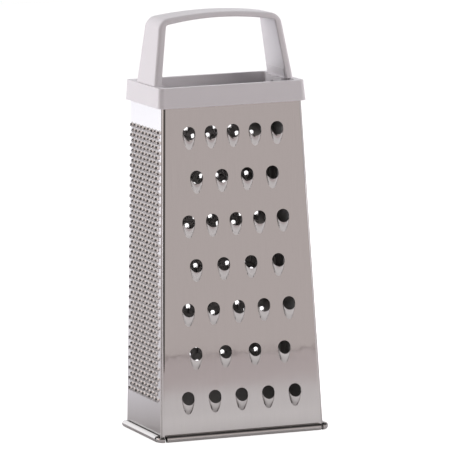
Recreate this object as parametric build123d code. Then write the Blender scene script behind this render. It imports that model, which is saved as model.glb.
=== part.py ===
from build123d import *
from math import atan, cos, degrees, radians, sin, tan
import os

# A four-sided box grater: four punched and hemmed steel panels, spot welded into a
# tapered tube, with a plastic collar over their top edge and a plastic carrying handle.
# Lengths are millimetres. The origin is on the floor under the middle of the body, the
# coarse face looks to -Y, the rasp face to -X, and Z is up.

# Steel body
base_width = 96.1
base_depth = 64.1
neck_width = 81.9
neck_depth = 58.4
neck_height = 186.0
sheet = 0.5
bend_radius = 1.6
bend_sides = 4
flange_width = 8.0
flange_foot = 6.0

# Rolled hem along the foot of each panel
hem_radius = 1.9
hem_flat = 0.1
hem_turn = 300.0
hem_end_gap = 1.0
roll_gap_sides = 4
tongue_turn = 210.0
tongue_sweep = 56.0
tongue_bend_sides = 4

# Coarse shredding teeth, on the wide face to -Y
coarse_radius = 3.7
coarse_tip = 9.2
coarse_sides = 8
coarse_rows = 7
coarse_row_count = 5
coarse_top_margin = 14.5
coarse_foot_margin = 23.6
coarse_side_margin = 15.7
coarse_short_margin = 20.2

# Medium shredding teeth, on the wide face to +Y
medium_radius = 2.2
medium_tip = 4.6
medium_sides = 4
medium_rows = 31
medium_row_count = 8
medium_top_margin = 14.0
medium_foot_margin = 33.4
medium_side_margin = 11.3

# Rasp burrs, on the narrow face to -X
burr_radius = 1.3
burr_height = 1.2
burr_sides = 3
rasp_rows = 53
rasp_row_count = 9
rasp_top_margin = 13.9
rasp_foot_margin = 22.9
rasp_side_margin = 3.2

# Slicing blades, on the narrow face to +X
blade_side_margin = 5.2
blade_rise = 2.0
blade_ramp = 9.0
blade_opening = 3.6
blade_rows = 3
blade_top_margin = 30.0
blade_foot_margin = 53.0

# Collar
collar_height = 11.3
collar_rim = 2.7
collar_wall = 2.0
collar_inner_wall = 1.4
collar_inner_height = 8.6
collar_gap = 0.4
collar_inner_gap = 0.3
collar_draft = 0.8
collar_corner = 3.0
collar_edge = 0.6

# Barbs of the collar, and their windows in the wide panels
window_width = 10.0
window_height = 2.4
window_drop = 4.6
window_spacing = 44.0
barb_clearance = 0.2

# Handle
handle_rise = 39.0
handle_setback = 1.65
handle_lean = 8.4
handle_leg = 4.2
handle_bar = 2.9
handle_arch = 3.0
handle_foot_width = 30.0
handle_top_width = 23.0
handle_outer_corner = 7.0
handle_inner_corner = 1.6
handle_edge = 0.9
heel_height = 5.5

# Tongues under the handle's heels, their snap lugs and their sockets in the collar
peg_thickness = 2.0
peg_width = 24.0
peg_depth = 7.0
peg_clearance = 0.15
socket_wall = 1.4
lug_width = 8.0
lug_height = 1.6
lug_depth = 0.7
lug_drop = 3.6

# Levels and insides that follow from the sizes above
hem_height = hem_radius - hem_flat
collar_top = neck_height + collar_height
steel_height = collar_top - collar_rim
overrun = 1.0
touching = 1e-4
LOW = (Align.CENTER, Align.CENTER, Align.MIN)
HIGH = (Align.CENTER, Align.CENTER, Align.MAX)


def half_width(height):
    """Outside half width of the body, along X, at a height above the floor."""
    return (base_width + (neck_width - base_width) * height / neck_height) / 2


def half_depth(height):
    """Outside half depth of the body, along Y, at a height above the floor."""
    return (base_depth + (neck_depth - base_depth) * height / neck_height) / 2


def wide_run(height):
    """Half length of the flat wall of a wide panel, between its two bends."""
    return half_width(height) - sheet - bend_radius


def narrow_run(height):
    """Half length of a narrow panel, which ends where the bends of the wide ones begin."""
    return half_depth(height) - bend_radius


def lean(reach):
    """Angle in radians by which a wall leans back, for the function of its distance."""
    return atan((reach(0) - reach(neck_height)) / neck_height)


def wall_thickness(reach):
    """Thickness square to a leaning wall whose sheet is measured level."""
    return sheet * cos(lean(reach))


def row_heights(count, top_margin, foot_margin):
    """Heights of a panel's rows of teeth, from the row below the collar down to the foot."""
    top_row = neck_height - top_margin
    pitch = (top_row - foot_margin) / (count - 1)
    return [top_row - row * pitch for row in range(count)]


def evenly(count, half_run):
    """Places from one end of a row to the other."""
    return [half_run * (2 * place / (count - 1) - 1) for place in range(count)]


def between(places):
    """Places halfway between those of a row, for the row that is staggered from it."""
    return [(left + right) / 2 for left, right in zip(places, places[1:])]


def on_wall(across, height, reach):
    """A place on the outside of a wall that looks to -Y, with local Y up the wall."""
    outward = (0, -cos(lean(reach)), sin(lean(reach)))
    return Plane(origin=(across, -reach(height), height), x_dir=(1, 0, 0), z_dir=outward).location


def lies_at(face, axis, position):
    """Whether every corner of a face lies at one position along an axis."""
    places = [Vector(vertex).dot(axis.direction) for vertex in face.vertices()]
    return max(abs(place - position) for place in places) < touching


def stamp(raised, cuts, reach, span):
    """The two outlines and the faces that one punched feature leaves in a wall's sheet."""
    thickness = wall_thickness(reach)
    shape = Box(span, span, thickness, align=HIGH) + raised - cuts
    front = shape.faces().filter_by(lambda face: lies_at(face, Axis.Z, 0)).sort_by(SortBy.AREA)[-1]
    back = shape.faces().filter_by(lambda face: lies_at(face, Axis.Z, -thickness)).sort_by(SortBy.AREA)[-1]
    border = [(Axis.X, -span / 2), (Axis.X, span / 2), (Axis.Y, -span / 2), (Axis.Y, span / 2)]
    outside = [face for face in shape.faces() if any(lies_at(face, axis, place) for axis, place in border)]
    faces = [face for face in shape.faces() if face not in [front, back, *outside]]
    return front.inner_wires(), back.inner_wires(), faces


def stamped_wall(run, reach, features):
    """A leaning wall that looks to -Y, sewn from its outlines and its punched features."""
    inward = Vector(0, sheet, 0)
    heights = (hem_height, hem_height, steel_height, steel_height)
    sides = (-1, 1, 1, -1)
    corners = [Vector(side * run(height), -reach(height), height) for side, height in zip(sides, heights)]
    front_holes = []
    back_holes = []
    faces = []
    for (front_outlines, back_outlines, own_faces), places in features:
        for place in places:
            front_holes += [place * outline for outline in front_outlines]
            back_holes += [place * outline for outline in back_outlines]
            faces += [place * face for face in own_faces]
    faces.append(Face(Wire.make_polygon(corners), front_holes))
    faces.append(Face(Wire.make_polygon([corner + inward for corner in corners]), back_holes))
    for near, far in zip(corners, corners[1:] + corners[:1]):
        faces.append(Face(Wire.make_polygon([near, far, far + inward, near + inward])))
    return Solid(Shell(faces))


def scoop(radius, tip, sides, reach):
    """A shredding tooth: a hole, and below it a pressed scoop that runs out to a tip.

    The scoop is half a cone lying on the wall, as wide at the middle of the hole as the
    hole itself, and the hole's own wall trims it to the cutting lip.
    """
    thickness = wall_thickness(reach)
    down = Plane(origin=(0, 0, 0), x_dir=(1, 0, 0), z_dir=(0, -1, 0))
    cone = down * loft([RegularPolygon(radius, sides).face(), Vertex(0, 0, tip)], ruled=True)
    below = Box(4 * tip, 4 * tip, 4 * tip, align=HIGH)
    hole = extrude(RegularPolygon(radius, sides), amount=2 * radius, both=True)
    return stamp(cone - below, [hole, Pos(0, 0, -thickness) * cone], reach, 4 * tip)


def burr(reach):
    """A rasp burr: a small spike that leans up the panel."""
    base = Rot(0, 0, 90) * RegularPolygon(burr_radius, burr_sides)
    spike = loft([base.face(), Vertex(0, burr_radius / 2, burr_height)], ruled=True)
    return stamp(spike, [], reach, 4 * burr_radius)


def blade(reach):
    """A slicing blade: a pressed ramp whose upper edge stands off a slot in the panel."""
    thickness = wall_thickness(reach)
    half_length = narrow_run(neck_height) - blade_side_margin
    across = Plane(origin=(0, 0, 0), x_dir=(0, 1, 0), z_dir=(1, 0, 0))
    ramp = across * make_face(Polyline((-blade_ramp, 0), (0, 0), (0, blade_rise), close=True))
    raised = extrude(ramp, amount=half_length, both=True)
    deep = blade_rise + thickness
    hollow_profile = Polyline((-blade_ramp, -thickness), (0, deep - 2 * thickness), (0, -deep), close=True)
    hollow = extrude(across * make_face(hollow_profile), amount=half_length - thickness, both=True)
    slot = Pos(0, blade_opening / 2, 0) * Box(2 * half_length, blade_opening, 4 * thickness)
    return stamp(raised, [hollow, slot], reach, 4 * half_length)


def window(reach):
    """Opening in a wide panel's top edge for a barb of the collar."""
    return stamp([], [Box(window_width, window_height, 4 * sheet)], reach, 2 * window_width)


def coarse_places():
    places = []
    for row, height in enumerate(row_heights(coarse_rows, coarse_top_margin, coarse_foot_margin)):
        short = row % 2
        margin = coarse_short_margin if short else coarse_side_margin
        for across in evenly(coarse_row_count - short, half_width(height) - margin):
            places.append(on_wall(across, height, half_depth))
    return places


def medium_places():
    places = []
    for row, height in enumerate(row_heights(medium_rows, medium_top_margin, medium_foot_margin)):
        across_all = evenly(medium_row_count, half_width(height) - medium_side_margin)
        if row % 2:
            across_all = between(across_all)
        places += [on_wall(across, height, half_depth) for across in across_all]
    return places


def rasp_places():
    places = []
    narrowest = min(narrow_run(0), narrow_run(neck_height))
    full_row = evenly(rasp_row_count, narrowest - rasp_side_margin)
    for row, height in enumerate(row_heights(rasp_rows, rasp_top_margin, rasp_foot_margin)):
        across_all = between(full_row) if row % 2 else full_row
        places += [on_wall(across, height, half_width) for across in across_all]
    return places


def blade_places():
    heights = row_heights(blade_rows, blade_top_margin, blade_foot_margin)
    return [on_wall(0, height, half_width) for height in heights]


def window_places():
    height = collar_top - window_drop
    return [on_wall(side * window_spacing / 2, height, half_depth) for side in (-1, 1)]


def arc_points(radius, start, turn, sides):
    """Points along an arc about the origin, from a start angle through a turn."""
    angles = [radians(start + turn * side / sides) for side in range(sides + 1)]
    return [(radius * cos(angle), radius * sin(angle)) for angle in angles]


def bent_sheet(radius, start, turn, sides):
    """Section of sheet bent round in straight facets, with its outside at a radius."""
    outer = arc_points(radius, start, turn, sides)
    inner = arc_points(radius - sheet, start, turn, sides)
    return make_face(Polyline(*outer, *reversed(inner), close=True))


def rolled_sheet(turn):
    """Section of sheet rolled in a smooth arc about the origin, from the panel outwards."""
    ring = Circle(hem_radius) - Circle(hem_radius - sheet)
    gap = arc_points(4 * hem_radius, 180 + turn, 360 - turn, roll_gap_sides)
    return ring - make_face(Polyline((0, 0), *gap, close=True))


def standing(roll):
    """A rolled section set against the panel's surface, X outwards, and flat where it stands."""
    floor = Pos(0, -hem_height) * Rectangle(4 * hem_radius, hem_radius, align=(Align.CENTER, Align.MAX))
    return Pos(hem_radius - sheet, hem_height) * (roll - floor)


def straight_hem(run, reach):
    """Rolled hem of a panel that looks to -Y, which stops short of the corners."""
    out = Plane(origin=(0, -reach(hem_height), 0), x_dir=(0, -1, 0), z_dir=(-1, 0, 0))
    section = standing(rolled_sheet(hem_turn))
    return extrude(out * section, amount=run(hem_height) - hem_end_gap, both=True)


def bend_centre(height):
    """Centre of the bend at the right-hand corner of a wide panel that looks to -Y."""
    return Vector(wide_run(height), bend_radius - half_depth(height), height)


def corner_tongue():
    """Short curl left standing below the right-hand bend of a wide panel."""
    centre = bend_centre(hem_height)
    roll = standing(bent_sheet(hem_radius, 180, tongue_turn, tongue_bend_sides))
    sections = []
    for turn in (-tongue_sweep / 2, 0, tongue_sweep / 2):
        angle = radians(-45 + turn)
        out = Vector(cos(angle), sin(angle), 0)
        origin = Vector(centre.X, centre.Y, 0) + out * bend_radius
        sections.append(Plane(origin=origin, x_dir=out, z_dir=out.cross(Vector(0, 0, 1))) * roll)
    return loft(sections, ruled=True)


def along_corner(section, low, high):
    """Extrude a section, drawn about the bend's centre, up the slanting right-hand corner."""
    run = bend_centre(high) - bend_centre(low)
    return extrude(Pos(bend_centre(low)) * section, amount=run.length, dir=run)


def right_corner():
    """Bend, weld flange and hem tongue at the right-hand corner of a wide panel."""
    bend = bent_sheet(bend_radius, -90, 90, bend_sides)
    tail = flange_width - bend_radius
    flange = Pos(bend_radius - sheet, 0) * Rectangle(sheet, tail, align=(Align.MIN, Align.MIN))
    shape = along_corner(bend, hem_height, steel_height)
    return shape + along_corner(flange, flange_foot, neck_height) + corner_tongue()


def wide_panel(tooth, places):
    """Wide panel that looks to -Y, with its punched teeth."""
    features = [(tooth, places), (window(half_depth), window_places())]
    corner = right_corner()
    shape = stamped_wall(wide_run, half_depth, features)
    return shape + [corner, mirror(corner, about=Plane.YZ), straight_hem(wide_run, half_depth)]


def narrow_panel(feature, places):
    """Narrow panel turned to look to -Y, with its punched features."""
    return stamped_wall(narrow_run, half_width, [(feature, places)]) + straight_hem(narrow_run, half_width)


def block(half_x, half_y, corner, low, high):
    """Upright block with rounded corners between two heights."""
    return Pos(0, 0, low) * extrude(RectangleRounded(2 * half_x, 2 * half_y, corner), amount=high - low)


def skirt_half_sizes():
    """Half sizes of the outside of the collar's inner skirt, which fits inside the steel."""
    inset = sheet + collar_inner_gap
    return half_width(steel_height) - inset, half_depth(steel_height) - inset


def opening_half_sizes():
    """Half sizes of the collar's open middle."""
    return tuple(half - collar_inner_wall for half in skirt_half_sizes())


def socket_inside():
    """Inner face of a handle socket's pocket, as a distance from the middle."""
    return opening_half_sizes()[0] - peg_thickness - 2 * peg_clearance


def socket():
    """Socket at the collar's right-hand end, with its pocket and lug window cut out."""
    outer_face = opening_half_sizes()[0]
    inner_face = socket_inside()
    half_y = peg_width / 2 + peg_clearance
    bottom = collar_top - peg_depth - peg_clearance
    boss = Pos(inner_face - socket_wall, 0, bottom - socket_wall) * Box(
        outer_face + collar_inner_wall / 2 - inner_face + socket_wall,
        2 * (half_y + socket_wall),
        collar_top - bottom + socket_wall,
        align=(Align.MIN, Align.CENTER, Align.MIN),
    )
    pocket = Pos(inner_face, 0, bottom) * Box(
        outer_face - inner_face, 2 * half_y, peg_depth + overrun, align=(Align.MIN, Align.CENTER, Align.MIN)
    )
    lug_window = Pos(inner_face, 0, collar_top - lug_drop) * Box(
        2 * socket_wall + overrun, lug_width + 2 * peg_clearance, lug_height + 2 * peg_clearance
    )
    return boss, [pocket, lug_window]


def barb(side):
    """Barb on the inner skirt at the front, which holds in a window of the wide panel."""
    skirt_face = skirt_half_sizes()[1]
    height = collar_top - window_drop
    tip = half_depth(height) - barb_clearance / 2
    width = window_width - 2 * barb_clearance
    reach = tip - skirt_face + collar_inner_wall / 2
    thickness = window_height - 2 * barb_clearance
    solid = Box(width, reach, thickness, align=(Align.CENTER, Align.MIN, Align.CENTER))
    return Pos(side * window_spacing / 2, -tip, height) * solid


def collar():
    """Collar: outer skirt, rim and inner skirt over the steel's edge, with two sockets."""
    offset = collar_gap + collar_wall
    foot = RectangleRounded(neck_width + 2 * offset, neck_depth + 2 * offset, collar_corner)
    taper = degrees(atan(collar_draft / collar_height))
    shape = extrude(Pos(0, 0, neck_height) * foot, amount=collar_height, taper=taper)
    shape = chamfer(shape.faces().sort_by(Axis.Z)[-1].edges(), collar_edge)
    skirt_x, skirt_y = skirt_half_sizes()
    skirt_foot = collar_top - collar_inner_height
    channel_x = half_width(neck_height) + collar_gap
    channel_y = half_depth(neck_height) + collar_gap
    channel = Pos(0, 0, neck_height) * Box(2 * channel_x, 2 * channel_y, 2 * (steel_height - neck_height))
    channel -= block(skirt_x, skirt_y, collar_corner, skirt_foot, steel_height)
    open_x, open_y = opening_half_sizes()
    opening = block(open_x, open_y, collar_corner - collar_inner_wall, neck_height, collar_top)
    shape = shape - channel - opening
    boss, cuts = socket()
    for turn in (0, 180):
        shape = shape + Rot(0, 0, turn) * boss - [Rot(0, 0, turn) * cut for cut in cuts]
        shape += [Rot(0, 0, turn) * barb(side) for side in (-1, 1)]
    return shape


def foot_outer():
    """Outer face of the handle's foot, as a distance from the middle."""
    return half_width(neck_height) + collar_gap + collar_wall - collar_draft - handle_setback


def band_outline(leg_inset, bar_inset):
    """Outline of the handle's band in front view, from foot to foot, moved in by two insets."""
    slope = tan(radians(handle_lean))
    level = leg_inset / cos(radians(handle_lean))
    shoulder = handle_rise - handle_arch - bar_inset
    foot_x = foot_outer() - level
    shoulder_x = foot_x - slope * shoulder
    left = Line((-foot_x, 0), (-shoulder_x, shoulder))
    arch = ThreePointArc((-shoulder_x, shoulder), (0, handle_rise - bar_inset), (shoulder_x, shoulder))
    right = Line((shoulder_x, shoulder), (foot_x, 0))
    return [left, arch, right]


def band_solid():
    """The handle's band, bent from foot to foot and narrower at the top."""
    outside = band_outline(0, 0)
    inside = band_outline(handle_leg, handle_bar)
    ends = [Line(outside[0] @ 0, inside[0] @ 0), Line(outside[2] @ 1, inside[2] @ 1)]
    face = make_face([*outside, *inside, *ends])
    outer_corners = [outside[0] @ 1, outside[2] @ 0]
    inner_corners = [inside[0] @ 1, inside[2] @ 0]
    for corners, radius in ((outer_corners, handle_outer_corner), (inner_corners, handle_inner_corner)):
        for corner in corners:
            face = fillet(face.vertices().sort_by_distance(corner)[0], radius)
    half_foot = handle_foot_width / 2
    half_top = handle_top_width / 2
    sides = [(-half_foot, 0), (half_foot, 0), (half_top, handle_rise), (-half_top, handle_rise)]
    band = extrude(Plane.XZ * face, amount=half_foot, both=True)
    band &= extrude(Plane.YZ * make_face(Polyline(*sides, close=True)), amount=foot_outer(), both=True)
    long_edges = band.edges().filter_by(Axis.Y, reverse=True)
    return chamfer(long_edges.filter_by(lambda edge: edge.center().Z > touching), handle_edge)


def foot_peg():
    """Peg under the handle's right-hand foot, with its snap lug and the heel above it."""
    outer = opening_half_sizes()[0] - peg_clearance
    inner = outer - peg_thickness
    setback = heel_height * tan(radians(handle_lean))
    heel_profile = [(inner, 0), (outer, 0), (outer - setback, heel_height), (inner - setback, heel_height)]
    heel_face = make_face(Polyline(*heel_profile, close=True))
    heel = extrude(Plane.XZ * heel_face, amount=peg_width / 2, both=True)
    peg = Pos(inner, 0, 0) * Box(
        peg_thickness, peg_width, peg_depth, align=(Align.MIN, Align.CENTER, Align.MAX)
    )
    lug = Pos(inner - lug_depth, 0, -lug_drop) * Box(
        lug_depth + peg_thickness / 2, lug_width, lug_height, align=(Align.MIN, Align.CENTER, Align.CENTER)
    )
    return Pos(0, 0, collar_top) * (heel + peg + lug)


def handle():
    """Handle: a bent band that narrows to the top, and a peg with a lug under each foot."""
    band = Pos(0, 0, collar_top) * band_solid()
    foot = foot_peg()
    return band + [foot, Rot(0, 0, 180) * foot]


def parts():
    coarse_tooth = scoop(coarse_radius, coarse_tip, coarse_sides, half_depth)
    medium_tooth = scoop(medium_radius, medium_tip, medium_sides, half_depth)
    return {
        "coarse_panel": wide_panel(coarse_tooth, coarse_places()),
        "medium_panel": Rot(0, 0, 180) * wide_panel(medium_tooth, medium_places()),
        "rasp_panel": Rot(0, 0, -90) * narrow_panel(burr(half_width), rasp_places()),
        "slicer_panel": Rot(0, 0, 90) * narrow_panel(blade(half_width), blade_places()),
        "collar": collar(),
        "carry_handle": handle(),
    }


os.makedirs("parts", exist_ok=True)
for node, shape in parts().items():
    export_step(shape, f"parts/{node}.step")
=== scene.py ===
import bmesh
import bpy
from math import atan, cos, pi, radians, sin, tan
from mathutils import Matrix, Vector


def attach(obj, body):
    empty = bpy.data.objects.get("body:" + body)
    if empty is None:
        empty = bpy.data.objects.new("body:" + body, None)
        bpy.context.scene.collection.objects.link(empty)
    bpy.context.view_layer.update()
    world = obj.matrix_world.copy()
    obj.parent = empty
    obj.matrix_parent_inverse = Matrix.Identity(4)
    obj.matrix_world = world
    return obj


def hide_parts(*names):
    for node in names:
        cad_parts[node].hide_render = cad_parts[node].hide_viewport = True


# The box grater's visible surfaces, built over the CAD frame: four punched steel panels
# modelled as bent sheet, a plastic collar and a plastic carrying handle. Lengths are metres.
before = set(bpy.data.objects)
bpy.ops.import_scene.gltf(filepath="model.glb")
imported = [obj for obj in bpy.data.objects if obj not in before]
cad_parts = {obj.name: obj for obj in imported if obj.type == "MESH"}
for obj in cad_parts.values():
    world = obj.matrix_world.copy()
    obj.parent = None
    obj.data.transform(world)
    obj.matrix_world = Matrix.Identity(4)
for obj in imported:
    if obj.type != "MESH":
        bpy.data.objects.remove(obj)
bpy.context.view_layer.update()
mm = 0.001

# Steel body
base_width = 96.1 * mm
base_depth = 64.1 * mm
neck_width = 81.9 * mm
neck_depth = 58.4 * mm
neck_height = 186.0 * mm
sheet = 0.5 * mm
bend_radius = 1.6 * mm
bend_steps = 10
flange_width = 8.0 * mm
flange_foot = 6.0 * mm
flat_margin = 1.0 * mm

# Rolled hem along the foot of each panel
hem_radius = 1.9 * mm
hem_height = 1.8 * mm
hem_turn = radians(300)
hem_steps = 20
hem_end_gap = 0.5 * mm
above_hem = 3 * hem_radius
tongue_turn = radians(210)
tongue_steps = 14
tongue_bend_steps = 8

# Coarse shredding teeth
coarse_radius = 3.7 * mm
coarse_tip = 9.2 * mm
coarse_lip = 2.1 * mm
coarse_corners = 24
coarse_rows = 7
coarse_row_count = 5
coarse_top_margin = 14.5 * mm
coarse_foot_margin = 23.6 * mm
coarse_side_margin = 15.7 * mm
coarse_short_margin = 20.2 * mm

# Medium shredding teeth
medium_radius = 1.4 * mm
medium_tip = 4.6 * mm
medium_lip = 1.2 * mm
medium_corners = 12
medium_rows = 31
medium_row_count = 8
medium_top_margin = 14.0 * mm
medium_foot_margin = 33.4 * mm
medium_side_margin = 11.3 * mm

# Rasp burrs
burr_radius = 1.35 * mm
burr_height = 1.5 * mm
burr_swell = 2.0 * mm
burr_swell_height = 0.33 * mm
burr_crater_height = 1.0 * mm
burr_crater_share = 0.58
burr_corners = 8
burr_point_match = 0.99
burr_turn = radians(137.5)
rasp_rows = 53
rasp_row_count = 9
rasp_top_margin = 13.9 * mm
rasp_foot_margin = 22.9 * mm
rasp_side_margin = 3.2 * mm

# Slicing blades
blade_side_margin = 5.2 * mm
blade_rise = 2.0 * mm
blade_ramp = 9.0 * mm
blade_opening = 3.6 * mm
blade_cheek = 1.8 * mm
blade_cheek_share = 0.35
blade_cheek_rise_share = 0.66
blade_rows = 3
blade_top_margin = 30.0 * mm
blade_foot_margin = 53.0 * mm

# How a scoop or a ramp falls from its lip to the wall, as shares of its run and its rise
fall_run_shares = (0.3, 0.6, 0.84, 1.0)
fall_rise_shares = (0.9, 0.61, 0.24, 0.0)

# Sheet stretched at a punched lip, as a share of the sheet's thickness
lip_thickness_share = 0.55

# Collar
collar_height = 11.3 * mm
collar_rim = 2.7 * mm
collar_wall = 2.0 * mm
collar_inner_wall = 1.4 * mm
collar_inner_height = 8.6 * mm
collar_gap = 0.4 * mm
collar_inner_gap = 0.3 * mm
collar_draft = 0.8 * mm
collar_corner = 3.0 * mm
collar_corner_steps = 8
collar_round = 0.6 * mm
collar_round_steps = 4
window_width = 10.0 * mm
window_height = 2.4 * mm
window_drop = 4.6 * mm
window_spacing = 44.0 * mm
barb_clearance = 0.2 * mm
pocket_overrun = 3.0 * mm
lug_window_overrun = 1.0 * mm

# Handle, its pegs and their sockets
handle_rise = 39.0 * mm
handle_setback = 1.65 * mm
handle_lean = radians(8.4)
handle_leg = 4.2 * mm
handle_bar = 2.9 * mm
handle_arch = 3.0 * mm
handle_foot_width = 33.6 * mm
handle_top_width = 25.6 * mm
handle_outer_corner = 7.0 * mm
handle_inner_corner = 1.6 * mm
handle_round = 1.9 * mm
handle_inner_round = 0.8 * mm
handle_round_steps = 5
handle_bend_steps = 10
handle_arch_steps = 12
heel_height = 5.5 * mm
peg_thickness = 2.0 * mm
peg_width = 24.0 * mm
peg_depth = 7.0 * mm
peg_clearance = 0.15 * mm
peg_round = 0.25 * mm
peg_round_steps = 2
socket_wall = 1.4 * mm
lug_width = 8.0 * mm
lug_height = 1.6 * mm
lug_depth = 0.7 * mm
lug_drop = 3.6 * mm

# Levels that follow from the sizes above
collar_top = neck_height + collar_height
steel_height = collar_top - collar_rim

# Turns up to which steel and mouldings shade smoothly, and from which mouldings are rounded
steel_smooth_turn = radians(40)
moulded_smooth_turn = radians(35)
rounded_turn = radians(50)
flat_face_weight = 80

# How near places, turns and directions have to be to count as the same
tiny = 0.001 * mm
tiny_turn = 0.01
same_side = 0.999
same_plane = 0.9999


def half_width(height):
    """Outside half width of the body at a height."""
    return (base_width + (neck_width - base_width) * height / neck_height) / 2


def half_depth(height):
    """Outside half depth of the body at a height."""
    return (base_depth + (neck_depth - base_depth) * height / neck_height) / 2


def wide_run(height):
    """Half length of the flat wall of a wide panel, between its bends."""
    return half_width(height) - sheet - bend_radius


def narrow_run(height):
    """Half length of a narrow panel."""
    return half_depth(height) - bend_radius


# Working on pieces

def pick(*pieces):
    """Select only these pieces, the first one active."""
    bpy.ops.object.select_all(action="DESELECT")
    for piece in pieces:
        piece.select_set(True)
    bpy.context.view_layer.objects.active = pieces[0]


def begin_edit(piece):
    """Put one piece alone in edit mode with everything selected."""
    pick(piece)
    bpy.ops.object.mode_set(mode="EDIT")
    bpy.ops.mesh.select_all(action="SELECT")


def end_edit():
    """Leave edit mode."""
    bpy.ops.object.mode_set(mode="OBJECT")


def choose(piece, kind, test):
    """Select only those corners or edges of a piece in edit mode that pass a test."""
    bpy.ops.mesh.select_mode(type=kind)
    bpy.ops.mesh.select_all(action="DESELECT")
    mesh = bmesh.from_edit_mesh(piece.data)
    for part in {"VERT": mesh.verts, "EDGE": mesh.edges}[kind]:
        part.select_set(test(part))
    bmesh.update_edit_mesh(piece.data)


def move(x=0, y=0, z=0):
    """Move what is selected."""
    bpy.ops.transform.translate(value=(x, y, z))


def stretch(x=1, y=1, z=1, centre=(0, 0, 0)):
    """Stretch what is selected away from a centre."""
    bpy.ops.transform.resize(value=(x, y, z), center_override=centre)


def draw_out(x=0, y=0, z=0):
    """Extrude what is selected."""
    bpy.ops.mesh.extrude_region_move(TRANSFORM_OT_translate={"value": (x, y, z)})


def join(pieces, name):
    """Join pieces into the first one."""
    pick(*pieces)
    bpy.ops.object.join()
    pieces[0].name = name
    return pieces[0]


def settle(piece):
    """Apply a piece's place, turn and size to its mesh."""
    pick(piece)
    bpy.ops.object.transform_apply(location=True, rotation=True, scale=True)


def finish_with(piece, kind, **settings):
    """Add a modifier with its settings and apply it."""
    modifier = piece.modifiers.new(kind.lower(), kind)
    for name, value in settings.items():
        setattr(modifier, name, value)
    pick(piece)
    bpy.ops.object.modifier_apply(modifier=modifier.name)


def outline(name, points):
    """A closed line drawn through points by extruding one corner from point to point."""
    bpy.ops.mesh.primitive_plane_add(size=mm)
    piece = bpy.context.object
    piece.name = name
    begin_edit(piece)
    bpy.ops.mesh.merge(type="CENTER")
    bpy.ops.mesh.select_mode(type="VERT")
    bpy.ops.mesh.select_all(action="SELECT")
    move(*points[0])
    for near, far in zip(points, points[1:]):
        draw_out(*(Vector(far) - Vector(near)))
    ends = (Vector(points[0]), Vector(points[-1]))
    choose(piece, "VERT", lambda corner: any((corner.co - end).length < tiny for end in ends))
    bpy.ops.mesh.edge_face_add()
    end_edit()
    return piece


# Punched features, each modelled once as a sheet surface lying at the wall, Z outwards

def fall_away(start_run, run):
    """Extrude a lip's edge to the wall in rings whose length and rise follow the fall shares."""
    last_run, last_rise = start_run, 1
    for run_share, rise_share in zip(fall_run_shares, fall_rise_shares):
        next_run = start_run + run * run_share
        draw_out()
        stretch(y=next_run / last_run, z=rise_share / last_rise)
        last_run, last_rise = next_run, rise_share


def scoop(name, radius, tip, lip, corners):
    """A shredding tooth: a round hole whose lower edge is lifted into a scoop."""
    bpy.ops.mesh.primitive_circle_add(vertices=corners, radius=radius, fill_type="NOTHING")
    piece = bpy.context.object
    piece.name = name
    begin_edit(piece)
    choose(piece, "VERT", lambda corner: corner.co.y < -tiny)
    tilt = atan(lip / radius)
    bpy.ops.transform.rotate(value=tilt, orient_axis="X", center_override=(0, 0, 0))
    stretch(y=1 / cos(tilt), z=1 / cos(tilt))
    choose(piece, "EDGE", lambda edge: min(end.co.y for end in edge.verts) < -tiny)
    fall_away(radius, tip - radius)
    bpy.ops.mesh.select_all(action="SELECT")
    bpy.ops.mesh.remove_doubles(threshold=tiny)
    end_edit()
    return piece


def burr():
    """A pierced burr: the sheet swells up to a small crater with four torn points."""
    bpy.ops.mesh.primitive_circle_add(vertices=burr_corners, radius=burr_swell, fill_type="NOTHING")
    piece = bpy.context.object
    piece.name = "burr"
    begin_edit(piece)
    bpy.ops.mesh.select_mode(type="EDGE")
    radius = burr_swell
    for next_radius, rise in (
        (burr_radius, burr_swell_height),
        (burr_crater_share * burr_radius, burr_crater_height - burr_swell_height),
    ):
        draw_out(z=rise)
        stretch(x=next_radius / radius, y=next_radius / radius)
        radius = next_radius
    diagonals = [Vector((x, y)).normalized() for x in (-1, 1) for y in (-1, 1)]
    choose(piece, "VERT", lambda corner: corner.co.z > burr_crater_height - tiny and any(
        corner.co.xy.normalized().dot(diagonal) > burr_point_match for diagonal in diagonals))
    move(z=burr_height - burr_crater_height)
    end_edit()
    return piece


def blade(half_length):
    """A slicing blade: a slot whose lower edge is lifted into a long ramp."""
    bends = [half_length - share * blade_cheek for share in (blade_cheek_share, 1)]
    lip = sorted([side * place for side in (-1, 1) for place in (half_length, *bends)])
    corners = [(place, 0, 0) for place in lip]
    slot_top = [(half_length, blade_opening, 0), (-half_length, blade_opening, 0)]
    piece = outline("blade", corners + slot_top)
    begin_edit(piece)
    top = half_length - blade_cheek + tiny
    choose(piece, "VERT", lambda corner: corner.co.y < tiny and abs(corner.co.x) < top)
    move(z=blade_rise)
    choose(piece, "VERT", lambda corner: corner.co.y < tiny and top < abs(corner.co.x) < half_length - tiny)
    move(z=blade_cheek_rise_share * blade_rise)
    choose(piece, "EDGE", lambda edge: max(end.co.y for end in edge.verts) < tiny)
    move(y=-blade_ramp)
    fall_away(blade_ramp, blade_ramp)
    choose(piece, "VERT", lambda corner: corner.co.y < blade_opening - tiny)
    move(y=blade_ramp)
    bpy.ops.mesh.select_all(action="SELECT")
    bpy.ops.mesh.remove_doubles(threshold=tiny)
    end_edit()
    return piece


# Places of the features

def row_heights(count, top_margin, foot_margin):
    """Heights of a panel's rows, from the top one down."""
    top_row = neck_height - top_margin
    pitch = (top_row - foot_margin) / (count - 1)
    return [top_row - row * pitch for row in range(count)]


def evenly(count, half_run):
    """Places from one end of a row to the other."""
    return [half_run * (2 * place / (count - 1) - 1) for place in range(count)]


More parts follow.
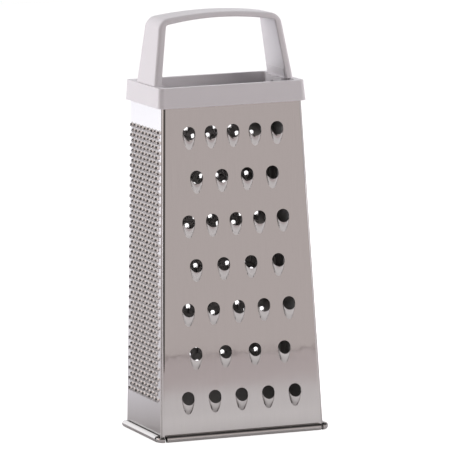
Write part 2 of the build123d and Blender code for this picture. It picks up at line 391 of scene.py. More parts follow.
def between(places):
    """Places halfway between those of a row."""
    return [(left + right) / 2 for left, right in zip(places, places[1:])]


def coarse_places():
    """Places of the coarse teeth: every second row is short by one tooth."""
    places = []
    for row, height in enumerate(row_heights(coarse_rows, coarse_top_margin, coarse_foot_margin)):
        short = row % 2
        margin = coarse_short_margin if short else coarse_side_margin
        across_all = evenly(coarse_row_count - short, half_width(height) - margin)
        places += [(across, height) for across in across_all]
    return places


def medium_places():
    """Places of the medium teeth: rows widen to the foot, and every second one is staggered."""
    places = []
    for row, height in enumerate(row_heights(medium_rows, medium_top_margin, medium_foot_margin)):
        full_row = evenly(medium_row_count, half_width(height) - medium_side_margin)
        places += [(across, height) for across in (between(full_row) if row % 2 else full_row)]
    return places


def rasp_places():
    """Places of the rasp's burrs: rows of one width, every second one staggered."""
    places = []
    full_row = evenly(rasp_row_count, min(narrow_run(0), narrow_run(neck_height)) - rasp_side_margin)
    for row, height in enumerate(row_heights(rasp_rows, rasp_top_margin, rasp_foot_margin)):
        places += [(across, height) for across in (between(full_row) if row % 2 else full_row)]
    return places


def blade_places():
    """Places of the blades, one above the other."""
    return [(0, height) for height in row_heights(blade_rows, blade_top_margin, blade_foot_margin)]


# Panels, each modelled looking to -Y and then turned to its side

def lean(reach):
    """Angle by which a wall leans back."""
    return atan((reach(0) - reach(neck_height)) / neck_height)


def on_wall(across, height, reach):
    """Matrix that puts a feature on the outside of a wall that looks to -Y."""
    turn = Matrix.Rotation(pi / 2 - lean(reach), 4, "X")
    return Matrix.Translation((across, -reach(height), height)) @ turn


def wall_corners(run, reach):
    """Corners of a wall's outline, with those where its hem and its flanges end."""
    hem_run = run(hem_height) - hem_end_gap
    sides = [(run(height), height) for height in (hem_height, flange_foot, neck_height, steel_height)]
    flat = [(-hem_run, hem_height), (hem_run, hem_height), *sides]
    flat += [(-across, height) for across, height in reversed(sides)]
    return [(across, -reach(height), height) for across, height in flat]


def punched_wall(name, run, reach, features):
    """A wall's sheet surface, filled between its outline and its punched features."""
    pieces = [outline(name, wall_corners(run, reach))]
    for feature, places, turn in features:
        for number, (across, height) in enumerate(places):
            copy = feature.copy()
            copy.data = feature.data.copy()
            copy.matrix_world = on_wall(across, height, reach) @ Matrix.Rotation(turn * number, 4, "Z")
            bpy.context.collection.objects.link(copy)
            pieces.append(copy)
        bpy.data.objects.remove(feature)
    wall = join(pieces, name)
    normal = Vector((0, -cos(lean(reach)), sin(lean(reach))))
    level = normal.dot(Vector((0, -reach(0), 0)))
    begin_edit(wall)

    def open_and_flat(edge):
        return len(edge.link_faces) < 2 and all(abs(normal.dot(end.co) - level) < tiny for end in edge.verts)

    choose(wall, "EDGE", open_and_flat)
    bpy.ops.mesh.fill(use_beauty=True)
    end_edit()
    return wall, normal, level


def roll_hem(wall, run, reach):
    """Roll the wall's foot outwards between its corners."""
    hem_run = run(hem_height) - hem_end_gap
    bore = hem_radius - sheet
    begin_edit(wall)
    choose(wall, "EDGE", lambda edge: all(
        abs(end.co.z - hem_height) < tiny and abs(end.co.x) < hem_run + tiny for end in edge.verts))
    bpy.ops.mesh.spin(
        steps=hem_steps,
        angle=hem_turn,
        center=(0, -reach(hem_height) - bore, hem_height),
        axis=(1, 0, 0),
    )
    end_edit()


def bend_side(wall, side):
    """Bend one side of a wide panel round its corner, and draw out the weld flange behind it."""
    begin_edit(wall)

    def on_side(edge):
        return all(abs(side * end.co.x - wide_run(end.co.z)) < tiny for end in edge.verts)

    choose(wall, "EDGE", lambda edge: len(edge.link_faces) == 1 and on_side(edge))
    angles = [pi / 2 * step / bend_steps for step in range(bend_steps + 1)]
    for near, far in zip(angles, angles[1:]):
        draw_out(side * bend_radius * (sin(far) - sin(near)), bend_radius * (cos(near) - cos(far)))
    choose(wall, "EDGE", lambda edge: len(edge.link_faces) == 1 and all(
        side * end.co.x > wide_run(end.co.z) + bend_radius - tiny
        and flange_foot - tiny < end.co.z < neck_height + tiny
        for end in edge.verts))
    draw_out(y=flange_width - bend_radius)
    end_edit()


def corner_tongue(wall, side):
    """Curl the short tongue at the foot of a bend outwards."""
    bore = hem_radius - sheet
    centre = Vector((side * wide_run(hem_height), bend_radius - half_depth(hem_height), hem_height))
    skipped = (bend_steps - tongue_bend_steps) / 2
    first, last = [pi / 2 * step / bend_steps for step in (skipped, bend_steps - skipped)]

    def in_tongue(end):
        out = end.co - centre
        turn = atan(side * out.x / max(-out.y, tiny))
        near = abs(out.xy.length - bend_radius) < tiny and abs(out.z) < tiny
        return near and first - tiny_turn < turn < last + tiny_turn

    begin_edit(wall)
    choose(wall, "EDGE", lambda edge: all(in_tongue(end) for end in edge.verts))
    curl = [tongue_turn * step / tongue_steps for step in range(tongue_steps + 1)]
    distances = [bend_radius + bore * (1 - cos(turn)) for turn in curl]
    for near, far, start, end in zip(curl, curl[1:], distances, distances[1:]):
        draw_out(z=bore * (sin(near) - sin(far)))
        stretch(x=end / start, y=end / start, centre=centre)
    end_edit()


def thicken(wall, normal, level, clear_run):
    """Point the sheet outwards, give it its thickness, thinner at punched lips, and stand it flat."""
    begin_edit(wall)
    bpy.ops.mesh.normals_make_consistent(inside=False)
    mesh = bmesh.from_edit_mesh(wall.data)
    flat = max(mesh.faces, key=lambda face: face.calc_area() * (abs(face.normal.dot(normal)) > same_side))
    if flat.normal.dot(normal) < 0:
        bpy.ops.mesh.flip_normals()
    end_edit()
    group = wall.vertex_groups.new(name="thickness")
    for corner in wall.data.vertices:
        raised = normal.dot(corner.co) - level
        punched = raised > tiny and corner.co.z > above_hem
        group.add([corner.index], lip_thickness_share if punched else 1, "REPLACE")
    finish_with(wall, "SOLIDIFY", thickness=sheet, offset=-1, use_even_offset=True, vertex_group="thickness")
    begin_edit(wall)
    choose(wall, "VERT", lambda corner: corner.co.z < 0)
    stretch(z=0)

    def flat_on_one_side(edge):
        turned = [abs(face.normal.dot(normal)) < same_plane for face in edge.link_faces]
        inner = max(abs(end.co.x) for end in edge.verts) < clear_run
        return inner and min(end.co.z for end in edge.verts) > flange_foot and len(set(turned)) == 2

    choose(wall, "EDGE", flat_on_one_side)
    bpy.ops.mesh.mark_sharp()
    end_edit()


def window():
    """Opening near a wide panel's top edge for a barb of the collar."""
    x = window_width / 2
    y = window_height / 2
    return outline("window", [(-x, -y, 0), (x, -y, 0), (x, y, 0), (-x, y, 0)])


def smooth(piece, turn):
    """Smooth shading across gentle turns, with wide flat faces keeping their own normal."""
    pick(piece)
    bpy.ops.object.shade_smooth_by_angle(angle=turn)
    finish_with(piece, "WEIGHTED_NORMAL", mode="FACE_AREA", weight=flat_face_weight, keep_sharp=True)


def panel(name, run, reach, features, turn, wide):
    """A finished panel: punched, bent, rolled, thickened and turned to its side."""
    wall, normal, level = punched_wall(name, run, reach, features)
    if wide:
        for side in (-1, 1):
            bend_side(wall, side)
            corner_tongue(wall, side)
    roll_hem(wall, run, reach)
    thicken(wall, normal, level, run(neck_height) - flat_margin)
    wall.rotation_euler.z = turn
    settle(wall)
    smooth(wall, steel_smooth_turn)
    return wall


def make_panels():
    """The four panels, by the nodes that they replace."""
    window_places = [(side * window_spacing / 2, collar_top - window_drop) for side in (-1, 1)]
    coarse_tooth = scoop("coarse_tooth", coarse_radius, coarse_tip, coarse_lip, coarse_corners)
    coarse = panel(
        "coarse_sheet", wide_run, half_depth,
        [(coarse_tooth, coarse_places(), 0), (window(), window_places, 0)], 0, True)
    medium_tooth = scoop("medium_tooth", medium_radius, medium_tip, medium_lip, medium_corners)
    medium = panel(
        "medium_sheet", wide_run, half_depth,
        [(medium_tooth, medium_places(), 0), (window(), window_places, 0)], pi, True)
    rasp = panel(
        "rasp_sheet", narrow_run, half_width,
        [(burr(), rasp_places(), burr_turn)], -pi / 2, False)
    slot_half = narrow_run(neck_height) - blade_side_margin
    slicer = panel(
        "slicer_sheet", narrow_run, half_width,
        [(blade(slot_half), blade_places(), 0)], pi / 2, False)
    return {"coarse_panel": coarse, "medium_panel": medium, "rasp_panel": rasp, "slicer_panel": slicer}


# Collar and handle

def block(name, low, high):
    """A box between two corners."""
    low = Vector(low)
    high = Vector(high)
    bpy.ops.mesh.primitive_cube_add(size=1, location=(low + high) / 2)
    piece = bpy.context.object
    piece.name = name
    piece.scale = high - low
    settle(piece)
    return piece


def combine(piece, others, operation):
    """Add other solids to a piece or cut them from it."""
    for other in others:
        finish_with(piece, "BOOLEAN", object=other, operation=operation, solver="EXACT")
        bpy.data.objects.remove(other)


def skirt_half_sizes():
    """Half width and half depth of the skirt that hangs inside the panels."""
    inset = sheet + collar_inner_gap
    return half_width(steel_height) - inset, half_depth(steel_height) - inset


def opening_half_sizes():
    """Half width and half depth of the collar's opening."""
    return [half - collar_inner_wall for half in skirt_half_sizes()]


def collar_ring():
    """The collar's ring: its section is carried round by extruding one rounded outline."""
    offset = collar_gap + collar_wall
    outer = Vector((neck_width / 2 + offset, neck_depth / 2 + offset))
    rim = outer - Vector((collar_draft, collar_draft))
    opening = Vector(opening_half_sizes())
    skirt = Vector(skirt_half_sizes())
    channel = Vector((half_width(neck_height) + collar_gap, half_depth(neck_height) + collar_gap))
    stations = [
        (rim, collar_top),
        (opening, collar_top),
        (opening, collar_top - collar_inner_height),
        (skirt, collar_top - collar_inner_height),
        (skirt, steel_height),
        (channel, steel_height),
        (channel, neck_height),
    ]
    bpy.ops.mesh.primitive_plane_add(size=2, location=(0, 0, neck_height))
    ring = bpy.context.object
    ring.name = "collar_shell"
    ring.scale = (*outer, 1)
    settle(ring)
    begin_edit(ring)
    bpy.ops.mesh.select_mode(type="VERT")
    bpy.ops.mesh.bevel(offset=collar_corner, segments=collar_corner_steps, affect="VERTICES")
    bpy.ops.mesh.delete(type="ONLY_FACE")
    bpy.ops.mesh.select_mode(type="EDGE")
    bpy.ops.mesh.select_all(action="SELECT")
    size, height = outer, neck_height
    for next_size, next_height in stations:
        draw_out(z=next_height - height)
        stretch(x=next_size.x / size.x, y=next_size.y / size.y)
        size, height = next_size, next_height
    choose(ring, "EDGE", lambda edge: len(edge.link_faces) == 1 and all(
        abs(end.co.z - neck_height) < tiny for end in edge.verts))
    bpy.ops.mesh.bridge_edge_loops()
    bpy.ops.mesh.select_all(action="SELECT")
    bpy.ops.mesh.normals_make_consistent(inside=False)
    end_edit()
    return ring


def opposite_blocks(name, low, high):
    """A box and its like on the opposite side of the collar."""
    turned_low = (-high[0], -high[1], low[2])
    turned_high = (-low[0], -low[1], high[2])
    return [block(name, low, high), block(name, turned_low, turned_high)]


def make_collar():
    """Collar: its ring with bosses, sockets, lug windows and barbs, and then rounded."""
    ring = collar_ring()
    outer_face = opening_half_sizes()[0]
    inner_face = outer_face - peg_thickness - 2 * peg_clearance
    half_y = peg_width / 2 + peg_clearance
    bottom = collar_top - peg_depth - peg_clearance
    boss_low = (inner_face - socket_wall, -half_y - socket_wall, bottom - socket_wall)
    boss_high = (outer_face + collar_inner_wall / 2, half_y + socket_wall, collar_top)
    pocket_low = (inner_face, -half_y, bottom)
    pocket_high = (outer_face, half_y, collar_top + pocket_overrun)
    lug_y = lug_width / 2 + peg_clearance
    lug_z = lug_height / 2 + peg_clearance
    lug_low = (inner_face - 2 * socket_wall, -lug_y, collar_top - lug_drop - lug_z)
    lug_high = (inner_face + lug_window_overrun, lug_y, collar_top - lug_drop + lug_z)
    skirt_face = skirt_half_sizes()[1]
    barb_height = collar_top - window_drop
    tip = half_depth(barb_height) - barb_clearance / 2
    barb_root = collar_inner_wall / 2 - skirt_face
    half_barb_width = window_width / 2 - barb_clearance
    half_barb_height = window_height / 2 - barb_clearance
    barbs = []
    for side in (-1, 1):
        middle = side * window_spacing / 2
        low = (middle - half_barb_width, -tip, barb_height - half_barb_height)
        high = (middle + half_barb_width, barb_root, barb_height + half_barb_height)
        barbs += opposite_blocks("barb", low, high)
    combine(ring, opposite_blocks("boss", boss_low, boss_high), "UNION")
    combine(ring, opposite_blocks("pocket", pocket_low, pocket_high), "DIFFERENCE")
    combine(ring, opposite_blocks("lug_window", lug_low, lug_high), "DIFFERENCE")
    combine(ring, barbs, "UNION")
    finish_with(
        ring, "BEVEL", width=collar_round, segments=collar_round_steps, limit_method="ANGLE",
        angle_limit=rounded_turn, use_clamp_overlap=True, harden_normals=False, miter_outer="MITER_ARC")
    smooth(ring, moulded_smooth_turn)
    return ring


def foot_outer():
    """Outer face of the handle's foot, as a distance from the middle."""
    return half_width(neck_height) + collar_gap + collar_wall - collar_draft - handle_setback


def turns(first, last, steps):
    """Angles from one to another in equal steps."""
    return [first + (last - first) * step / steps for step in range(steps + 1)]


def on_circle(centre, radius, angle):
    """A point on a circle."""
    return centre + radius * Vector((cos(angle), sin(angle)))


def half_handle(leg_inset, bar_inset, corner):
    """Right half of the handle's outline in front view, from its foot to its crown."""
    foot = Vector((foot_outer() - leg_inset / cos(handle_lean), 0))
    leg = Vector((-sin(handle_lean), cos(handle_lean)))
    inward = Vector((-cos(handle_lean), -sin(handle_lean)))
    crown = handle_rise - bar_inset
    span = foot.x - tan(handle_lean) * (crown - handle_arch)
    radius = (span ** 2 + handle_arch ** 2) / (2 * handle_arch)
    middle = Vector((0, crown - radius))
    corner_start = foot + inward * corner
    along = (middle - corner_start).dot(leg)
    aside = (corner_start + leg * along - middle).length
    centre = corner_start + leg * (along + ((radius - corner) ** 2 - aside ** 2) ** 0.5)
    touch = atan((centre - middle).y / (centre - middle).x)
    bend = [on_circle(centre, corner, angle) for angle in turns(handle_lean, touch, handle_bend_steps)]
    arch = [on_circle(middle, radius, angle) for angle in turns(touch, pi / 2, handle_arch_steps)]
    return [foot, *bend, *arch[1:]]


def make_handle():
    """Handle: its front outline drawn through to the back, narrowed to the top and rounded."""
    outside = half_handle(0, 0, handle_outer_corner)
    inside = half_handle(handle_leg, handle_bar, handle_inner_corner)
    half_foot = handle_foot_width / 2
    loop = []
    for half, side in ((outside, 1), (outside[-2::-1], -1), (inside, -1), (inside[-2::-1], 1)):
        loop += [(side * point.x, -half_foot, point.y) for point in half]
    handle = outline("handle_bail", loop)
    begin_edit(handle)
    bpy.ops.mesh.edge_face_add()
    draw_out(y=handle_foot_width)
    taper = atan((handle_foot_width - handle_top_width) / 2 / handle_rise)
    for side in (-1, 1):
        choose(handle, "VERT", lambda corner: side * corner.co.y > tiny)
        bpy.ops.transform.rotate(
            value=-side * taper, orient_axis="X", center_override=(0, side * half_foot, 0))
        stretch(z=1 / cos(taper))
    inner_points = [Vector((abs(point.x), point.y)) for point in inside]

    def on_inside(edge):
        ends = [Vector((abs(end.co.x), end.co.z)) for end in edge.verts]
        return all(min((end - point).length for point in inner_points) < tiny for end in ends)

    def along_side(edge):
        low, high = edge.verts
        return low.co.y * high.co.y > 0 and max(low.co.z, high.co.z) > tiny

    choose(handle, "EDGE", along_side)
    bpy.ops.transform.edge_bevelweight(value=1)
    choose(handle, "EDGE", lambda edge: along_side(edge) and on_inside(edge))
    bpy.ops.transform.edge_bevelweight(value=handle_inner_round / handle_round - 1)
    bpy.ops.mesh.select_all(action="SELECT")
    bpy.ops.mesh.normals_make_consistent(inside=False)
    move(z=collar_top)
    end_edit()
    finish_with(
        handle, "BEVEL", width=handle_round, segments=handle_round_steps, limit_method="WEIGHT",
        use_clamp_overlap=True)
    join([handle, *handle_pegs()], "handle_bail")
    smooth(handle, moulded_smooth_turn)
    return handle


def handle_pegs():
    """Pegs under the handle's feet, with their snap lugs and the heels above them."""
    outer = opening_half_sizes()[0] - peg_clearance
    inner = outer - peg_thickness
    half_y = peg_width / 2
    half_heel = handle_foot_width / 2 - handle_round
    setback = heel_height * tan(handle_lean)
    pegs = []
    for side in (1, -1):
        peg_low = (inner, -half_y, collar_top - peg_depth)
        peg = block("peg", peg_low, (outer, half_y, collar_top + peg_thickness))
        heel_low = (inner, -half_heel, collar_top)
        heel = block("heel", heel_low, (outer, half_heel, collar_top + heel_height))
        begin_edit(heel)
        choose(heel, "VERT", lambda corner: corner.co.z > collar_top + tiny)
        move(x=-setback)
        end_edit()
        lug_low = (inner - lug_depth, -lug_width / 2, collar_top - lug_drop - lug_height / 2)
        lug_high = (inner + peg_thickness / 2, lug_width / 2, collar_top - lug_drop + lug_height / 2)
        combine(peg, [heel, block("lug", lug_low, lug_high)], "UNION")
        finish_with(
            peg, "BEVEL", width=peg_round, segments=peg_round_steps, limit_method="ANGLE",
            angle_limit=rounded_turn)
        if side < 0:
            peg.rotation_euler.z = pi
            settle(peg)
        pegs.append(peg)
    return pegs


# Finish of the steel: colour and polish, painted shade and a duller finish inside, fine lines of the grain
# and waves of the sheet
steel_colour = (0.62, 0.60, 0.59)
steel_roughness = 0.065
polish_spread = 0.04
polish_patches = 28.0
# Darker base colour of inward faces: painted shade inside the body
inside_shade_colour = (0.44, 0.43, 0.42)
inside_roughness = 0.34
grain_shades = (0.96, 1.04)
grain_across = 2600.0
grain_along = 45.0
grain_strength = 0.10
grain_depth = 0.02 * mm
sheet_waves = 14.0
sheet_wave_depth = 0.07 * mm

# Finish of the plastic: colour, shades of its patches, a painted highlight on its edges, and a fine satin
# surface
moulded_colour = (0.84, 0.815, 0.84)
moulded_patches = 22.0
moulded_shades = (0.985, 1.01)
# Lightening of the plastic's edges: a painted highlight
moulded_edge_highlight = 1.05
moulded_roughness = 0.36
moulded_spread = 0.06
satin_grain = 3500.0
satin_strength = 0.08
satin_depth = 0.02 * mm

# Limits between which a noise's middle values are spread, and turns at which an edge starts and ends
mottle_from = 0.3
mottle_to = 0.7
edge_from = 0.97
edge_to = 0.8


# Materials

def new_group(name, inputs, outputs):
    """An empty shader group with named inputs and outputs."""
    group = bpy.data.node_groups.new(name, "ShaderNodeTree")
    for label, kind, default in inputs:
        socket = group.interface.new_socket(name=label, in_out="INPUT", socket_type=kind)
        socket.default_value = default
    for label, kind in outputs:
        group.interface.new_socket(name=label, in_out="OUTPUT", socket_type=kind)
    start = group.nodes.new("NodeGroupInput")
    end = group.nodes.new("NodeGroupOutput")
    return group, start, end


def add_node(tree, kind, links=(), **settings):
    """Add a node, set its values and link named inputs to it."""
    node = tree.nodes.new(kind)
    for name, value in settings.items():
        if hasattr(node, name):
            setattr(node, name, value)
        else:
            node.inputs[name.replace("_", " ").title()].default_value = value
    for socket, source in links:
        tree.links.new(source, node.inputs[socket])
    return node


def add_range(tree, source, low, high, **settings):
    """Spread a value from 0 to 1 between two limits, or to other ends that are given."""
    node = add_node(tree, "ShaderNodeMapRange", [("Value", source)], from_min=low, from_max=high, **settings)
    return node.outputs["Result"]


def times_and_plus(tree, source, factor, added):
    """A value times a factor, with a number added."""
    node = add_node(tree, "ShaderNodeMath", [(0, source)], operation="MULTIPLY_ADD")
    node.inputs[1].default_value = factor
    node.inputs[2].default_value = added
    return node.outputs[0]


def mix_colours(tree, factor, first, second):
    """Mix two colours, each given as a socket or as three numbers."""
    node = add_node(tree, "ShaderNodeMix", [("Factor", factor)], data_type="RGBA")
    for name, colour in (("A", first), ("B", second)):
        if isinstance(colour, tuple):
            node.inputs[name].default_value = (*colour, 1)
        else:
            tree.links.new(colour, node.inputs[name])
    return node.outputs["Result"]


def add_ramp(tree, source, stops):
    """A colour ramp through stops of a place and a colour."""
    ramp = add_node(tree, "ShaderNodeValToRGB", [("Fac", source)])
    elements = ramp.color_ramp.elements
    while len(elements) < len(stops):
        elements.new(0.5)
    for element, (place, colour) in zip(elements, stops):
        element.position = place
        element.color = (*colour, 1)
    return ramp.outputs["Color"]


def grain_group():
    """Fine lines left by rolling the sheet, along one direction."""
    group, start, end = new_group(
        "rolled_grain",
        [("Across", "NodeSocketFloat", grain_across), ("Along", "NodeSocketFloat", grain_along)],
        [("Grain", "NodeSocketFloat")])
    place = add_node(group, "ShaderNodeTexCoord")
    across = start.outputs["Across"]
    size = add_node(
        group, "ShaderNodeCombineXYZ",
        [("X", across), ("Y", across), ("Z", start.outputs["Along"])])
    scaled = add_node(
        group, "ShaderNodeVectorMath",
        [(0, place.outputs["Object"]), (1, size.outputs[0])], operation="MULTIPLY")
    noise = add_node(group, "ShaderNodeTexNoise", [("Vector", scaled.outputs[0])], detail=3.0, scale=1.0)
    group.links.new(noise.outputs["Fac"], end.inputs["Grain"])
    return group


def mottle_group():
    """Broad soft variation, as of handling and washing."""
    group, start, end = new_group(
        "soft_mottle",
        [
            ("Scale", "NodeSocketFloat", polish_patches),
            ("Low", "NodeSocketFloat", 0.0),
            ("High", "NodeSocketFloat", 1.0),
        ],
        [("Value", "NodeSocketFloat")])
    place = add_node(group, "ShaderNodeTexCoord")
    noise = add_node(
        group, "ShaderNodeTexNoise",
        [("Vector", place.outputs["Object"]), ("Scale", start.outputs["Scale"])], detail=4.0, roughness=0.6)
    spread = add_range(group, noise.outputs["Fac"], mottle_from, mottle_to)
    group.links.new(start.outputs["Low"], spread.node.inputs["To Min"])
    group.links.new(start.outputs["High"], spread.node.inputs["To Max"])
    group.links.new(spread, end.inputs["Value"])
    return group


def edge_group():
    """Where a surface turns sharply, so that a painted highlight can lighten edges."""
    group, start, end = new_group(
        "edge_turn", [("Radius", "NodeSocketFloat", collar_round)], [("Edge", "NodeSocketFloat")])
    rounded = add_node(group, "ShaderNodeBevel", [("Radius", start.outputs["Radius"])], samples=4)
    surface = add_node(group, "ShaderNodeNewGeometry")
    agreement = add_node(
        group, "ShaderNodeVectorMath",
        [(0, rounded.outputs["Normal"]), (1, surface.outputs["Normal"])], operation="DOT_PRODUCT")
    edge = add_range(group, agreement.outputs["Value"], edge_from, edge_to)
    group.links.new(edge, end.inputs["Edge"])
    return group


def inside_group():
    """Faces that look to the middle of the body, where the steel gets painted shade and a rougher finish."""
    group, start, end = new_group("inside", [], [("Inside", "NodeSocketFloat")])
    place = add_node(group, "ShaderNodeTexCoord")
    across = add_node(group, "ShaderNodeVectorMath", [(0, place.outputs["Object"])], operation="MULTIPLY")
    across.inputs[1].default_value = (1, 1, 0)
    surface = add_node(group, "ShaderNodeNewGeometry")
    outward = add_node(
        group, "ShaderNodeVectorMath",
        [(0, across.outputs[0]), (1, surface.outputs["True Normal"])], operation="DOT_PRODUCT")
    inside = add_node(group, "ShaderNodeMath", [(0, outward.outputs["Value"])], operation="LESS_THAN")
    inside.inputs[1].default_value = 0
    group.links.new(inside.outputs[0], end.inputs["Inside"])
    return group


groups = {}


def use_group(tree, name, **values):
    """Place a shader group in a material with its own values, and give its one output."""
    node = tree.nodes.new("ShaderNodeGroup")
    node.node_tree = groups[name]
    for label, value in values.items():
        node.inputs[label].default_value = value
    return node.outputs[0]


def new_material(name):
    """A new material with its nodes and its shader."""
    material = bpy.data.materials.new(name)
    material.use_nodes = True
    tree = material.node_tree
    return material, tree, tree.nodes["Principled BSDF"]


def shaded(colour, factor):
    """A colour made a little darker or lighter."""
    return tuple(min(1, channel * factor) for channel in colour)


def steel(name, colour, roughness):
    """Bright rolled stainless sheet, with painted shade and a rougher finish on faces that look inwards."""
    material, tree, shader = new_material(name)
    shader.inputs["Metallic"].default_value = 1.0
    grain = use_group(tree, "rolled_grain", Across=grain_across, Along=grain_along)
    mottle = use_group(tree, "soft_mottle", Scale=polish_patches, Low=-1.0, High=1.0)
    inside = use_group(tree, "inside")
    tone = mix_colours(tree, grain, *[shaded(colour, shade) for shade in grain_shades])
    # Inward faces take a darker base colour: painted shade inside the body
    tree.links.new(mix_colours(tree, inside, tone, inside_shade_colour), shader.inputs["Base Color"])
    polish = times_and_plus(tree, mottle, polish_spread, roughness)
    dulled = add_node(
        tree, "ShaderNodeMix", [("Factor", inside), ("A", polish)], data_type="FLOAT", b=inside_roughness)
    tree.links.new(dulled.outputs["Result"], shader.inputs["Roughness"])
    waves = use_group(tree, "soft_mottle", Scale=sheet_waves, Low=0.0, High=1.0)
    sheet_wave = add_node(
        tree, "ShaderNodeBump", [("Height", waves)], strength=1.0, distance=sheet_wave_depth)
    bump = add_node(
        tree, "ShaderNodeBump", [("Height", grain), ("Normal", sheet_wave.outputs["Normal"])],
        strength=grain_strength, distance=grain_depth)
    tree.links.new(bump.outputs["Normal"], shader.inputs["Normal"])
    return material


def plastic(name, colour):
    """Pale moulded plastic with a fine satin surface and a painted highlight on its edges."""
    material, tree, shader = new_material(name)
    mottle = use_group(tree, "soft_mottle", Scale=moulded_patches, Low=0.0, High=1.0)
    edge = use_group(tree, "edge_turn", Radius=collar_round)
    tone = mix_colours(tree, mottle, *[shaded(colour, shade) for shade in moulded_shades])
    # Sharp turns are lightened: a painted highlight on edges
    edge_highlighted = mix_colours(tree, edge, tone, shaded(colour, moulded_edge_highlight))
    tree.links.new(edge_highlighted, shader.inputs["Base Color"])
    rough = times_and_plus(tree, mottle, moulded_spread, moulded_roughness)
    tree.links.new(rough, shader.inputs["Roughness"])
    fine = use_group(tree, "soft_mottle", Scale=satin_grain, Low=0.0, High=1.0)
    bump = add_node(
        tree, "ShaderNodeBump", [("Height", fine)], strength=satin_strength, distance=satin_depth)
    tree.links.new(bump.outputs["Normal"], shader.inputs["Normal"])
    return material


# Camera, at the place that was fitted to the straight edges in the photograph
camera_azimuth = radians(-18.42)
camera_elevation = radians(7.44)
camera_roll = radians(-1.62)
camera_distance = 3.087
camera_aim = Vector((0, 0, 120 * mm))
camera_lens = 440
camera_sensor = 36
camera_shift_x = 0.014
camera_shift_y = -0.0191

# Brightness of the studio round the object: turn to the right of straight ahead, in degrees, and colour
studio_sides = (
    (-180, (1.26, 1.26, 1.29)),
    (-125, (1.26, 1.26, 1.29)),
    (-106, (1.24, 1.10, 1.06)),
    (-88, (1.10, 0.97, 0.93)),
    (-74, (0.12, 0.11, 0.105)),
    (3, (0.10, 0.095, 0.09)),
    (12, (0.64, 0.58, 0.572)),
    (40, (0.66, 0.60, 0.59)),
    (75, (0.48, 0.45, 0.45)),
    (120, (0.80, 0.80, 0.82)),
    (180, (1.26, 1.26, 1.29)),
)

# Colour of the studio overhead, and the upward slopes between which the sides turn into it
studio_top = (0.05, 0.048, 0.048)
studio_top_start = 0.3
studio_top_end = 0.78

# Table: its sides, its edge in front, its colours, with a dark strip at that edge that the steel shows as a
# painted reflection line, and its added brightness in the steel by depth, a painted glow with painted shade
# under the object
floor_width = 4.0
floor_front = -0.39
floor_back = 2.6
floor_edge = 0.016
floor_colour = (0.72, 0.69, 0.70)
# Dark strip at the front edge: a painted reflection line in the steel
floor_edge_painted_line_colour = (0.12, 0.11, 0.11)
floor_roughness = 0.7
floor_shine = 0.2
floor_white = 0.85
floor_edge_white = 1.0
# Glow that only the steel sees: painted reflection, dark through the object's footprint as painted shade
floor_glow = (
    (-0.39, (0.12, 0.085, 0.08)),
    (-0.27, (0.15, 0.115, 0.11)),
    (-0.20, (0.28, 0.28, 0.28)),
    (-0.14, (0.30, 0.30, 0.30)),
    (-0.11, (0.36, 0.36, 0.36)),
    (-0.07, (0.33, 0.33, 0.33)),
    (-0.045, (0.30, 0.30, 0.30)),
    (-0.035, (0.07, 0.07, 0.07)),
    (0.035, (0.07, 0.07, 0.07)),
    (0.20, (0.36, 0.37, 0.41)),
    (1.80, (1.10, 1.13, 1.22)),
)

# Lamps, aimed at the middle of the body: name, place, size, power and colour
lamp_aim = Vector((0, 0, 0.15))
lamps = (
    ("left_window", (-1.5, 0.8, 0.3), (1.6, 1.0), 15.5, (1.0, 0.98, 1.0)),
    ("front_window", (1.0, -1.6, 0.5), (1.0, 0.8), 9, (1.0, 0.97, 0.98)),
    ("right_window", (1.5, 0.35, 0.35), (0.9, 0.9), 8, (0.97, 0.97, 1.0)),
    ("top_window", (0.2, 0.2, 1.9), (1.4, 1.4), 9, (1.0, 0.98, 1.0)),
)


# Studio

def make_camera():
    """Camera at the photograph's place."""
    back = Vector((
        sin(camera_azimuth) * cos(camera_elevation),
        -cos(camera_azimuth) * cos(camera_elevation),
        sin(camera_elevation),
    ))
    data = bpy.data.cameras.new("camera")
    data.lens = camera_lens
    data.sensor_width = camera_sensor
    data.shift_x = camera_shift_x
    data.shift_y = camera_shift_y
    camera = bpy.data.objects.new("camera", data)
    bpy.context.collection.objects.link(camera)
    camera.location = camera_aim + back * camera_distance
    facing = (-back).to_track_quat("-Z", "Y")
    camera.rotation_mode = "QUATERNION"
    camera.rotation_quaternion = facing @ Matrix.Rotation(camera_roll, 3, "Z").to_quaternion()
    bpy.context.scene.camera = camera


def shown_rays(tree, kinds):
    """A factor that is 1 for the kinds of rays that are named."""
    rays = add_node(tree, "ShaderNodeLightPath")
    total = rays.outputs[kinds[0]]
    for kind in kinds[1:]:
        either = add_node(tree, "ShaderNodeMath", [(0, total), (1, rays.outputs[kind])], operation="MAXIMUM")
        total = either.outputs[0]
    return total


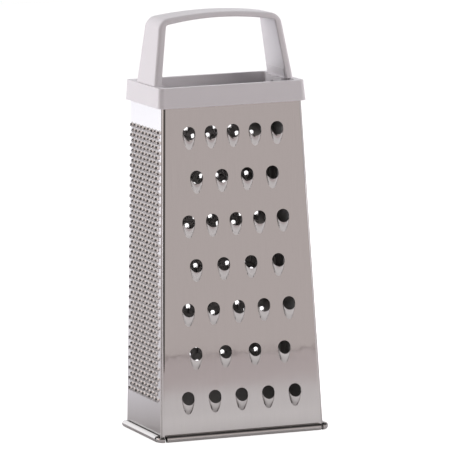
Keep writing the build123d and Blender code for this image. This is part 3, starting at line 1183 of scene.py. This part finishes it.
def make_world():
    """White behind the object, and a soft studio that is dim in front and bright behind."""
    world = bpy.data.worlds.new("studio")
    bpy.context.scene.world = world
    world.use_nodes = True
    tree = world.node_tree
    light = tree.nodes["Background"]
    place = add_node(tree, "ShaderNodeTexCoord")
    parts = add_node(tree, "ShaderNodeSeparateXYZ", [(0, place.outputs["Generated"])])
    ahead = times_and_plus(tree, parts.outputs["Y"], -1, 0)
    turn = add_node(tree, "ShaderNodeMath", [(0, parts.outputs["X"]), (1, ahead)], operation="ARCTAN2")
    share = add_range(tree, turn.outputs[0], -pi, pi)
    sides = add_ramp(tree, share, [
        ((degrees_right + 180) / 360, colour) for degrees_right, colour in studio_sides])
    high = add_range(tree, parts.outputs["Z"], studio_top_start, studio_top_end)
    tree.links.new(mix_colours(tree, high, sides, studio_top), light.inputs["Color"])
    light.inputs["Strength"].default_value = 1.0
    white = add_node(tree, "ShaderNodeBackground")
    white.inputs["Color"].default_value = (1, 1, 1, 1)
    mix = add_node(tree, "ShaderNodeMixShader", [
        ("Fac", shown_rays(tree, ["Is Camera Ray", "Is Transmission Ray"])),
        (1, light.outputs[0]),
        (2, white.outputs[0]),
    ])
    tree.links.new(mix.outputs[0], tree.nodes["World Output"].inputs["Surface"])


def make_floor():
    """A pale table under the object, which reads white to the camera, and which the steel mirrors as a
    painted glow by depth with a dark painted line at its front edge.
    """
    bpy.ops.mesh.primitive_plane_add(size=1, location=(0, (floor_front + floor_back) / 2, 0))
    floor = bpy.context.object
    floor.name = "floor"
    floor.scale = (floor_width, floor_back - floor_front, 1)
    settle(floor)
    material, tree, shader = new_material("floor_white")
    shader.inputs["Roughness"].default_value = floor_roughness
    shader.inputs["Specular IOR Level"].default_value = floor_shine
    place = add_node(tree, "ShaderNodeTexCoord")
    depth = add_node(tree, "ShaderNodeSeparateXYZ", [(0, place.outputs["Object"])]).outputs["Y"]
    share = add_range(tree, depth, floor_front, floor_back)
    # Glow by depth for glossy rays: painted reflection, with painted shade under the object
    glow = add_ramp(tree, share, [
        ((reach - floor_front) / (floor_back - floor_front), colour) for reach, colour in floor_glow])
    white = add_range(
        tree, depth, floor_front, floor_front + 2 * floor_edge, to_min=floor_edge_white, to_max=floor_white)
    shown = mix_colours(tree, shown_rays(tree, ["Is Glossy Ray"]), white, glow)
    tree.links.new(shown, shader.inputs["Emission Color"])
    lit = shown_rays(tree, ["Is Camera Ray", "Is Transmission Ray", "Is Glossy Ray"])
    tree.links.new(lit, shader.inputs["Emission Strength"])
    # A dark strip at the front edge, white to the camera: a painted line in the steel's reflections
    edge = add_range(tree, depth, floor_front, floor_front + floor_edge)
    tree.links.new(mix_colours(tree, edge, floor_edge_painted_line_colour, floor_colour), shader.inputs["Base Color"])
    floor.data.materials.append(material)


def add_lamp(name, place, size, power, colour):
    """A rectangular lamp that the steel doesn't mirror."""
    data = bpy.data.lights.new(name, "AREA")
    data.shape = "RECTANGLE"
    data.size, data.size_y = size
    data.energy = power
    data.color = colour
    lamp = bpy.data.objects.new(name, data)
    bpy.context.collection.objects.link(lamp)
    lamp.location = place
    lamp.visible_glossy = False
    lamp.rotation_mode = "QUATERNION"
    lamp.rotation_quaternion = (lamp_aim - Vector(place)).to_track_quat("-Z", "Y")


def main():
    """Make the materials, the six pieces and the studio."""
    groups["rolled_grain"] = grain_group()
    groups["soft_mottle"] = mottle_group()
    groups["edge_turn"] = edge_group()
    groups["inside"] = inside_group()
    bright_steel = steel("bright_steel", steel_colour, steel_roughness)
    pale_plastic = plastic("pale_plastic", moulded_colour)
    for node, piece in make_panels().items():
        piece.data.materials.clear()
        piece.data.materials.append(bright_steel)
        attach(piece, "root")
        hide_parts(node)
    for node, piece in {"collar": make_collar(), "carry_handle": make_handle()}.items():
        piece.data.materials.clear()
        piece.data.materials.append(pale_plastic)
        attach(piece, "root")
        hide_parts(node)
    make_camera()
    make_world()
    make_floor()
    for lamp in lamps:
        add_lamp(*lamp)
    bpy.context.scene.view_settings.view_transform = "Standard"


main()
